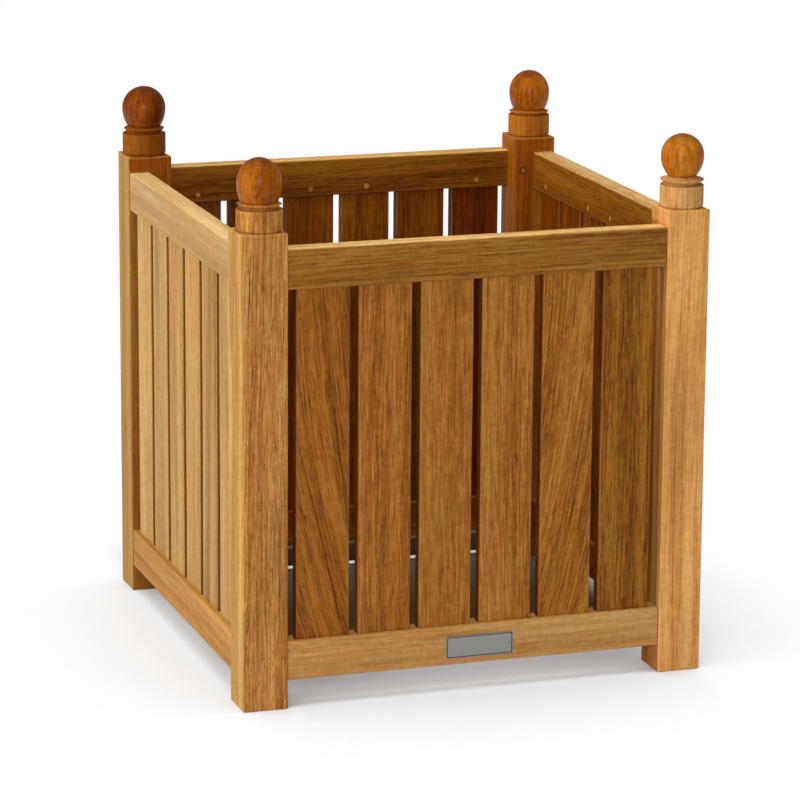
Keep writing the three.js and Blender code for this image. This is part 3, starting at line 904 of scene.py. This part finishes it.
def streaks(tree, place, fine, late, figure, open_grain, contrast):
    """Light and dark along the fibres, about nought: wide and narrow streaks, mottle, and late wood's lines.

    The wide streaks grow with the figure and the narrow ones with the open grain. The lines of late wood are
    broken up along their length.
    """
    broad = swing(tree, fibres(tree, place, 24 * MM, 0.45, detail=1.0), 0.70 * contrast)
    middle = swing(tree, fibres(tree, place, 6 * MM, 0.26), 0.65 * contrast)
    thin = swing(tree, fibres(tree, place, 1.7 * MM, 0.060), 0.75 * contrast)
    fine = swing(tree, fine, 1.05 * contrast)
    mottle = swing(tree, fibres(tree, place, 8 * MM, 0.005), 0.30 * contrast)
    keen = reckon(tree, "MULTIPLY_ADD", open_grain, 0.65, 0.35)
    shade = times(tree, reckon(tree, "ADD", broad, middle), reckon(tree, "MULTIPLY_ADD", figure, 0.6, 0.4))
    for part in (times(tree, thin, keen), times(tree, fine, keen), mottle):
        shade = reckon(tree, "ADD", shade, part)
    broken = between(tree, fibres(tree, place, 1.4 * MM, 0.03, detail=1.0), 0.35, 0.62)
    line = times(tree, late, figure, reckon(tree, "MULTIPLY_ADD", broken, 0.85, 0.15))
    return reckon(tree, "SUBTRACT", shade, times(tree, line, 0.30 * contrast))


def wood_colour(tree, place, shade, tones):
    """The teak's four colours from dark to pale, cooler and warmer from place to place."""
    ramp = tree.nodes.new("ShaderNodeValToRGB")
    ramp.color_ramp.interpolation = "B_SPLINE"
    stops = ramp.color_ramp.elements
    stops[0].position, stops[0].color = 0.0, colour(tones.teak_dark)
    stops[1].position, stops[1].color = 1.0, colour(tones.teak_pale)
    for position, value in ((0.33, tones.teak_brown), (0.66, tones.teak_golden)):
        stops.new(position).color = colour(value)
    feed(tree, ramp.inputs["Fac"], shade)
    warm = between(tree, fibres(tree, place, 6 * MM, 0.11), 0.32, 0.68)
    warmth = blend_colour(tree, warm, colour((0.975, 1.01, 1.05)), colour((1.04, 0.98, 0.92)))
    return blend_colour(tree, 1.0, ramp.outputs["Color"], warmth, "MULTIPLY")


def open_pores(tree, place, early, open_grain):
    """Short pores, thickest where a ring begins, long pores, and pale specks that a few pores hold."""
    hollow = fibres(tree, place, 0.95 * MM, 0.010, detail=1.0)
    threshold = reckon(tree, "MULTIPLY_ADD", early, -0.07, 0.67)
    pores = between(tree, hollow, threshold, reckon(tree, "ADD", threshold, 0.05))
    long_pores = between(tree, fibres(tree, place, 1.1 * MM, 0.042, detail=1.0), 0.66, 0.70)
    specks = between(tree, fibres(tree, place, 1.0 * MM, 0.005, detail=0.0), 0.79, 0.83)
    return [times(tree, kind, open_grain) for kind in (pores, long_pores, specks)]


def flaws(tree, fine):
    """A crack along the piece's seam, and a knot's eye with a faint ring round it, both frayed by noise."""
    crack = reckon(tree, "ADD", attribute(tree, "seam", "Fac"), swing(tree, fine, 1.6 * MM))
    crack = between(tree, reckon(tree, "ABSOLUTE", crack), 0.8 * MM, 0.2 * MM)
    away = reckon_vector(tree, "LENGTH", attribute(tree, "knot"), output=1)
    away = reckon(tree, "ADD", away, swing(tree, fine, 1.5 * MM))
    halo = times(tree, plateau(tree, away, (2.2 * MM, 3.2 * MM), (4.4 * MM, 3.4 * MM)), 0.2)
    return crack, reckon(tree, "MAXIMUM", between(tree, away, 1.6 * MM, 0.5 * MM), halo)


def teak(name, tones, rough=0.56, gloss=0.11, contrast=1.0, deepen=0.0):
    """Solid teak, cut open wherever the surface runs.

    Year rings and streaks set how dark the wood is, and a ramp gives it colour. Pores, cracks and knots are
    drawn over it, then the stick's tone, which holds painted light and shade on some faces, worn edges, and
    dark marks: glue round pegs, and torn fibres with painted shade in the heads' coves. Pores and cracks are
    also pressed in.
    """
    material, tree = blank(name)
    place = shaken(tree, attribute(tree, "grain"))
    wear, figure, dark_marks_and_shade = apart(tree, attribute(tree, "look"))
    open_grain = attribute(tree, "pores", "Fac")
    fine = fibres(tree, place, 1.05 * MM, 0.022, detail=2.5, roughness=0.65)
    late, early = year_rings(tree, place, tones.ring)
    shade = streaks(tree, place, fine, late, figure, open_grain, contrast)
    seen = wood_colour(tree, place, reckon(tree, "ADD", shade, 0.62 - deepen), tones)
    pores, long_pores, specks = open_pores(tree, place, early, open_grain)
    crack, eye = flaws(tree, fine)
    for flaw, strength in ((pores, 0.60), (crack, 0.80), (eye, 0.75), (long_pores, 0.60)):
        seen = blend_colour(tree, times(tree, flaw, strength), seen, colour(tones.pore))
    seen = blend_colour(tree, times(tree, specks, 0.7), seen, colour(tones.fleck))
    # The tint holds each stick's tone, with painted light and shade on some faces.
    seen = blend_colour(tree, 1.0, seen, attribute(tree, "tint", "Color"), "MULTIPLY")
    seen = blend_colour(tree, times(tree, wear, 0.30), seen, colour(tones.teak_pale))
    # Dark marks: glue round a peg, and torn fibres with painted shade in a head's coves.
    seen = blend_colour(tree, times(tree, dark_marks_and_shade, 0.85), seen, colour(tones.pore))

    height = times(tree, fine, 0.5)
    for pressed, depth in ((pores, 0.8), (long_pores, 0.4), (crack, 2.0)):
        height = reckon(tree, "SUBTRACT", height, times(tree, pressed, depth))
    dull = reckon(tree, "ADD", swing(tree, fine, 0.25), rough)
    shader = tree.nodes.new("ShaderNodeBsdfPrincipled")
    shader.inputs["Specular IOR Level"].default_value = gloss
    feed(tree, shader.inputs["Base Color"], seen)
    feed(tree, shader.inputs["Roughness"], reckon(tree, "MULTIPLY_ADD", pores, 0.15, dull, clamp=True))
    feed(tree, shader.inputs["Normal"], relief(tree, height, 0.4, 0.12 * MM))
    show(tree, shader.outputs["BSDF"])
    return material


def brushed(name, tones):
    """Satin metal, brushed along its width: fine scratches in the colour, the sheen and the relief.

    The border is painted where the third part of the piece's look is 1.
    """
    material, tree = blank(name)
    scratch = noise(tree, attribute(tree, "grain"), (90.0, 0.0, 5200.0), detail=3.0)
    paint = apart(tree, attribute(tree, "look"))["Z"]
    dim = tuple(0.72 * value for value in tones.plate_metal)
    metal = blend_colour(tree, scratch, colour(dim), colour(tones.plate_metal))
    shader = tree.nodes.new("ShaderNodeBsdfPrincipled")
    feed(tree, shader.inputs["Base Color"], blend_colour(tree, paint, metal, colour(tones.plate_border)))
    feed(tree, shader.inputs["Metallic"], reckon(tree, "MULTIPLY_ADD", paint, -0.85, 0.85))
    feed(tree, shader.inputs["Roughness"], reckon(tree, "MULTIPLY_ADD", scratch, 0.25, 0.38))
    feed(tree, shader.inputs["Normal"], relief(tree, scratch, 0.2, 0.03 * MM))
    show(tree, shader.outputs["BSDF"])
    return material


def once(name, make, *given, **named):
    """The material of that name, made the first time it is asked for."""
    return bpy.data.materials.get(name) or make(name, *given, **named)


# ---- Operators ----------------------------------------------------------------------------------


class PLANTER_OT_posts(bpy.types.Operator):
    """Square posts with their turned heads"""

    bl_idname = "planter.posts"
    bl_label = "Posts"

    def execute(self, context):
        sizes, tones = context.scene.planter_sizes, context.scene.planter_tones
        wood = once("teak_posts", teak, tones)
        for seed, (corner, (sign_x, sign_y)) in enumerate(CORNERS.items(), 101):
            sawn = sawn_for(f"post_{corner}", seed)
            parts = post_surface(sign_x, sign_y, HEADS[corner], sawn, seed, sizes)
            settle(closed_tube(f"turned_post_{corner}", *parts), wood, f"post_{corner}")
        return {"FINISHED"}


class PLANTER_OT_balls(bpy.types.Operator):
    """Polished balls on the posts"""

    bl_idname = "planter.balls"
    bl_label = "Balls"

    def execute(self, context):
        tones = context.scene.planter_tones
        wood = once("teak_balls", teak, tones, rough=0.30, gloss=0.12, contrast=1.5, deepen=0.06)
        for seed, (corner, (sign_x, _)) in enumerate(CORNERS.items(), 131):
            sawn = sawn_for(f"ball_finial_{corner}", seed, pith=0.035, turn=70.0)
            rings, *looks = ball_surface(HEADS[corner], sawn, seed)
            low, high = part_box(f"ball_finial_{corner}")
            aside = sign_x * HEADS[corner].aside
            rings = rings + np.array([(low.x + high.x) / 2 - aside, (low.y + high.y) / 2, 0])
            piece = closed_tube(f"polished_ball_{corner}", rings, *looks)
            settle(piece, wood, f"ball_finial_{corner}")
        return {"FINISHED"}


class PLANTER_OT_rails(bpy.types.Operator):
    """Top and bottom rails, housed for the slats"""

    bl_idname = "planter.rails"
    bl_label = "Rails"

    def execute(self, context):
        sizes, tones = context.scene.planter_sizes, context.scene.planter_tones
        wood = once("teak_rails", teak, tones)
        housings = []
        for number in range(1, SLATS + 1):
            low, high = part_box(f"slat_front_{number}")
            housings.append((low.x - sizes.joint_gap, high.x + sizes.joint_gap))
        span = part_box("post_front_right")[0].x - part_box("post_front_left")[1].x - 2 * sizes.joint_gap
        for quarter, side in enumerate(SIDES):
            for level, facing in (("top", -1), ("bottom", 1)):
                low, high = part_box(f"{level}_rail_front")
                seed = 160 + 10 * quarter + facing
                sawn = sawn_for(f"{level}_rail_{side}", seed)
                local, *looks = stick(
                    high.z - low.z, high.y - low.y, span, sizes.rail_edge, sawn, seed, sizes, housings,
                    facing)
                rings = np.stack([local[..., 2], local[..., 1] + (low.y + high.y) / 2,
                                  local[..., 0] + (low.z + high.z) / 2], -1)
                piece = closed_tube(f"sawn_{level}_rail_{side}", to_side(rings, quarter), *looks)
                settle(piece, wood, f"{level}_rail_{side}")
        return {"FINISHED"}


class PLANTER_OT_slats(bpy.types.Operator):
    """Upright slats, six to each side"""

    bl_idname = "planter.slats"
    bl_label = "Slats"

    def execute(self, context):
        sizes, tones = context.scene.planter_sizes, context.scene.planter_tones
        wood = once("teak_slats", teak, tones, contrast=1.35)
        for quarter, side in enumerate(SIDES):
            for number in range(1, SLATS + 1):
                low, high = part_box(f"slat_front_{number}")
                seed = 200 + 10 * quarter + number
                sawn = sawn_for(f"slat_{side}_{number}", seed)
                local, *looks = stick(
                    high.x - low.x, high.y - low.y, high.z - low.z, sizes.slat_edge, sawn, seed, sizes)
                rings = local + np.array((low + high) / 2)
                piece = closed_tube(f"sawn_slat_{side}_{number}", to_side(rings, quarter), *looks)
                settle(piece, wood, f"slat_{side}_{number}")
        return {"FINISHED"}


# Width of the dark ring of glue round a peg, and the tone of its wood.
PEG_FINISH = dict(ring=1.9 * MM, tone=(0.80, 0.76, 0.50))
PIN_FINISH = dict(ring=0.3 * MM, tone=(0.95, 0.95, 0.80))
PEG_SWELL = 0.3 * MM  # by which a driven peg fills its hole
PINNED_SLATS = (1, 3, 4, 6)  # on each side


class PLANTER_OT_pegs(bpy.types.Operator):
    """Pegs through the rails' tenons and pins through the slats' ends"""

    bl_idname = "planter.pegs"
    bl_label = "Pegs and pins"

    def execute(self, context):
        wood = once("teak_pegs", teak, context.scene.planter_tones)
        drop = Vector((0, 0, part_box("top_rail_front")[1].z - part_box("bottom_rail_front")[1].z))
        for seed, corner in enumerate(CORNERS, 301):
            node = f"tenon_peg_{corner}"
            low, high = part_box(node)
            self.drive(wood, f"glued_{node}", node, low, high, seed, **PEG_FINISH)
            lower = f"glued_lower_peg_{corner}"
            self.drive(wood, lower, None, low - drop, high - drop, seed + 10, **PEG_FINISH)
        for quarter, side in enumerate(SIDES):
            for number in PINNED_SLATS:
                node = f"slat_pin_{side}_{number}"
                seed = 320 + 10 * quarter + number
                self.drive(wood, f"glued_{node}", node, *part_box(node), seed, **PIN_FINISH)
        return {"FINISHED"}

    def drive(self, wood, name, node, low, high, seed, ring, tone):
        """Puts a peg where a box stands, its length along the box's longest side and its end facing out."""
        size, middle = high - low, (low + high) / 2
        along = max(range(3), key=lambda axis: size[axis])
        inward = -math.copysign(1.0, middle[along])
        sawn = sawn_for(node, seed, tone=tone)
        local, *looks = peg_surface(min(size) / 2 + PEG_SWELL, size[along], ring, sawn, seed)
        points = np.zeros_like(local)
        for part, axis in enumerate(((along + 1) % 3, (along + 2) % 3)):
            points[..., axis] = local[..., part] + middle[axis]
        points[..., along] = middle[along] + inward * (size[along] / 2 + local[..., 2])
        piece = closed_tube(name, points, *looks)
        settle(piece, wood, node)


PLATE_DROP = 1.8 * MM  # below the middle of the rail
PLATE_CORNER = 1.2 * MM
PLATE_PIN_INSET = 4.2 * MM
PLATE_PIN_CAP = ((0.9, -0.1), (0.88, 0.1), (0.7, 0.28), (0.4, 0.38), (0.1, 0.41))  # radius and height in mm
# From the rim to the face: millimetres in from the edge, millimetres proud of the rail, and 1 where painted.
PLATE_STEPS = ((0.0, -0.2, 0), (0.0, 0.75, 0), (0.1, 0.86, 0), (0.35, 0.9, 0), (0.9, 0.9, 0), (0.95, 0.9, 1),
               (1.9, 0.9, 1), (1.95, 0.9, 0), (4.0, 0.9, 0))


class PLANTER_OT_plate(bpy.types.Operator):
    """Bare metal plate on the front bottom rail"""

    bl_idname = "planter.plate"
    bl_label = "Plate"

    def execute(self, context):
        sizes, tones = context.scene.planter_sizes, context.scene.planter_tones
        low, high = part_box("bottom_rail_front")
        middle = np.array([sizes.plate_shift, low.y, (low.z + high.z) / 2 - PLATE_DROP])
        across, tall = sizes.plate_width, sizes.plate_height
        outline = section_of(across, tall, PLATE_CORNER, 6 * MM, arc=4)[0]
        inset, proud, painted = np.array(PLATE_STEPS).T[..., None]
        inset, proud = inset * MM, proud * MM
        local = np.zeros((len(inset), len(outline), 3))
        local[..., 0] = outline[None, :, 0] * (1 - 2 * inset / across)
        local[..., 2] = outline[None, :, 1] * (1 - 2 * inset / tall)
        local[..., 1] = -proud
        look = np.stack(np.broadcast_arrays(0.0, 1.0, painted * np.ones(len(outline)), 0.0), -1)
        plate = closed_tube("bare_plate", local + middle, local, np.ones_like(local), look)
        metal = once("plate_metal", brushed, tones)
        settle(plate, metal)
        for name, way, tarnish in (("plate_pin_left", -1, 0.0), ("plate_pin_right", 1, 0.75)):
            spot = middle + np.array([way * (across / 2 - PLATE_PIN_INSET), -0.85 * MM, 0])
            cap = spun(np.array(PLATE_PIN_CAP) * MM, around=24)
            points = np.stack([cap[..., 0], -cap[..., 2], cap[..., 1]], -1) + spot
            look = np.zeros(cap.shape[:2] + (4,))
            look[..., 2] = tarnish
            settle(closed_tube(name, points, cap, np.ones_like(cap), look), metal)
        return {"FINISHED"}


FLOOR_REACH = 15.0
FLOOR_MIRRORED = 0.35  # share of the floor's glow that shows in the wood's gloss
BACKDROP_MIRRORED = 0.12  # and of the pale surroundings'
OPEN_SKY = (0.30, 0.85)  # share of open sky over a spot of floor where its glow begins, and where it is whole
SHADE_FRONT = (-170 * MM, -100 * MM)  # where the shade on the ground begins, and where it is whole
SHADE_BACK = (170 * MM, 60 * MM)  # where it ends past the back rail, and where it is still whole
SHADE_PALER = 40 * MM  # from here to the back rail the shade inside grows paler
LAMPS_FACE = Vector((0, 0, 0.3))  # the point that all lamps look at


class PLANTER_OT_stage(bpy.types.Operator):
    """Floor, lamps and camera"""

    bl_idname = "planter.stage"
    bl_label = "Stage"

    def execute(self, context):
        scene, stage = context.scene, context.scene.planter_stage
        scene.view_settings.view_transform = "Standard"
        self.lay_floor(scene)
        self.light(scene, stage)
        self.aim(scene, stage)
        return {"FINISHED"}

    def lay_floor(self, scene):
        """A pale floor that glows where nothing stands over it, with the wood's shade under the planter."""
        corners = [(x * FLOOR_REACH, y * FLOOR_REACH, 0) for x, y in ((-1, -1), (1, -1), (1, 1), (-1, 1))]
        mesh = bpy.data.meshes.new("studio_floor")
        mesh.from_pydata(corners, [], [(0, 1, 2, 3)])
        floor = bpy.data.objects.new("studio_floor", mesh)
        scene.collection.objects.link(floor)
        material, tree = blank("studio_floor")
        x, y, _ = apart(tree, tree.nodes.new("ShaderNodeTexCoord").outputs["Object"])
        shaded, shadow = self.shade_under(tree, x, y, scene.planter_tones)
        diffuse = tree.nodes.new("ShaderNodeBsdfDiffuse")
        ground = blend_colour(tree, shaded, colour(scene.planter_tones.floor), shadow)
        feed(tree, diffuse.inputs["Color"], ground)
        open_sky = tree.nodes.new("ShaderNodeAmbientOcclusion")
        open_sky.inputs["Distance"].default_value = 0.45
        open_sky.samples = 8
        lift = times(tree, between(tree, open_sky.outputs["AO"], *OPEN_SKY), seen_share(tree, FLOOR_MIRRORED),
                     rest_of(tree, shaded))
        both = tree.nodes.new("ShaderNodeMixShader")
        feed(tree, both.inputs[0], lift)
        feed(tree, both.inputs[1], diffuse.outputs["BSDF"])
        feed(tree, both.inputs[2], tree.nodes.new("ShaderNodeEmission").outputs["Emission"])
        show(tree, both.outputs["Shader"])
        mesh.materials.append(material)

    def shade_under(self, tree, x, y, tones):
        """Where the ground lies in the planter's shade, and its colour there.

        The shade runs from inside the front rail to behind the back rail, and eases off on every side. A thin
        strip under the back rail, as long as the rail, stays pale.
        """
        wall, rim = (corner.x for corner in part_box("bottom_rail_right"))
        rail_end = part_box("post_front_right")[0].x - 0.5 * MM
        shaded = times(tree, plateau(tree, x, (-rim, 40 * MM - wall), (1.3 * rim, wall)),
                       between(tree, y, *SHADE_FRONT), between(tree, y, *(rim + past for past in SHADE_BACK)))
        gleam = times(tree, plateau(tree, y, (wall + 8 * MM, wall + 12 * MM), (rim - 1 * MM, rim - 5 * MM)),
                      plateau(tree, x, (-rail_end, 4 * MM - rail_end), (rail_end, rail_end - 4 * MM)))
        shaded = times(tree, shaded, rest_of(tree, gleam))
        paler = between(tree, y, SHADE_PALER, wall)
        shadow = blend_colour(tree, paler, colour(tones.shade_near), colour(tones.shade_far))
        behind = between(tree, y, rim - 5 * MM, rim)
        return shaded, blend_colour(tree, behind, shadow, colour(tones.shade_behind))

    def light(self, scene, stage):
        """Soft surroundings, whose far side shows faintly in the gloss, and five square lamps."""
        world = bpy.data.worlds.new("studio")
        scene.world = world
        world.use_nodes = True
        tree = world.node_tree
        tree.nodes.clear()
        _, away, _ = apart(tree, tree.nodes.new("ShaderNodeTexCoord").outputs["Object"])
        shown = seen_share(tree, times(tree, between(tree, away, -0.35, 0.25), BACKDROP_MIRRORED))
        back = tree.nodes.new("ShaderNodeBackground")
        feed(tree, back.inputs["Strength"], reckon(tree, "MULTIPLY_ADD", shown, 1.0 - stage.sky, stage.sky))
        show(tree, back.outputs["Background"], "ShaderNodeOutputWorld")
        for name, power, width, spot in (
            ("overhead_lamp", stage.overhead, 1.8, (-0.3, -0.2, 2.7)),
            ("left_lamp", stage.left, 1.6, (-2.6, -0.1, 1.3)),
            ("right_lamp", stage.right, 1.4, (2.6, -0.5, 1.5)),
            ("back_lamp", stage.behind, 1.8, (0.6, 2.9, 1.5)),
            ("front_lamp", stage.front, 0.6, (-1.06, -3.07, 1.30)),
        ):
            lamp = bpy.data.lights.new(name, "AREA")
            lamp.energy = power
            lamp.size = width
            thing = bpy.data.objects.new(name, lamp)
            thing.location = spot
            thing.visible_glossy = name == "front_lamp"
            thing.rotation_mode = "QUATERNION"
            thing.rotation_quaternion = (LAMPS_FACE - Vector(spot)).to_track_quat("-Z", "Y")
            scene.collection.objects.link(thing)

    def aim(self, scene, stage):
        """The camera, turned to its target from the stage's angles and distance."""
        turn, rise = stage.azimuth, stage.elevation
        back = Vector((math.sin(turn) * math.cos(rise), -math.cos(turn) * math.cos(rise), math.sin(rise)))
        right = (-back).cross(Vector((0, 0, 1))).normalized()
        up = right.cross(-back)
        c, s = math.cos(stage.roll), math.sin(stage.roll)
        x_axis, y_axis = c * right + s * up, c * up - s * right
        data = bpy.data.cameras.new("photo_camera")
        data.sensor_width = 36.0
        data.lens = stage.lens
        camera = bpy.data.objects.new("photo_camera", data)
        camera.matrix_world = Matrix((x_axis, y_axis, back)).transposed().to_4x4()
        camera.location = Vector(stage.target) + back * stage.distance
        scene.collection.objects.link(camera)
        scene.camera = camera


class PLANTER_PT_build(bpy.types.Panel):
    """Lists the planter's pieces and values"""

    bl_label = "Planter"
    bl_space_type = "VIEW_3D"
    bl_region_type = "UI"
    bl_category = "Planter"

    def draw(self, context):
        for step in STEPS:
            self.layout.operator(step.bl_idname)
        for group in ("planter_sizes", "planter_tones", "planter_stage"):
            values = getattr(context.scene, group)
            for field in values.__annotations__:
                self.layout.prop(values, field)


STEPS = (PLANTER_OT_posts, PLANTER_OT_balls, PLANTER_OT_rails, PLANTER_OT_slats, PLANTER_OT_pegs,
         PLANTER_OT_plate, PLANTER_OT_stage)
GROUPS = {"planter_sizes": PlanterSizes, "planter_tones": PlanterTones, "planter_stage": PlanterStage}


def register():
    for kind in (*GROUPS.values(), *STEPS, PLANTER_PT_build):
        bpy.utils.register_class(kind)
    for field, group in GROUPS.items():
        setattr(bpy.types.Scene, field, PointerProperty(type=group))


def unregister():
    for field in GROUPS:
        delattr(bpy.types.Scene, field)
    for kind in reversed((*GROUPS.values(), *STEPS, PLANTER_PT_build)):
        bpy.utils.unregister_class(kind)


def main():
    """Registers the planter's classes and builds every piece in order."""
    register()
    for step in STEPS:
        family, name = step.bl_idname.split(".")
        getattr(getattr(bpy.ops, family), name)()


if __name__ == "__main__":
    main()
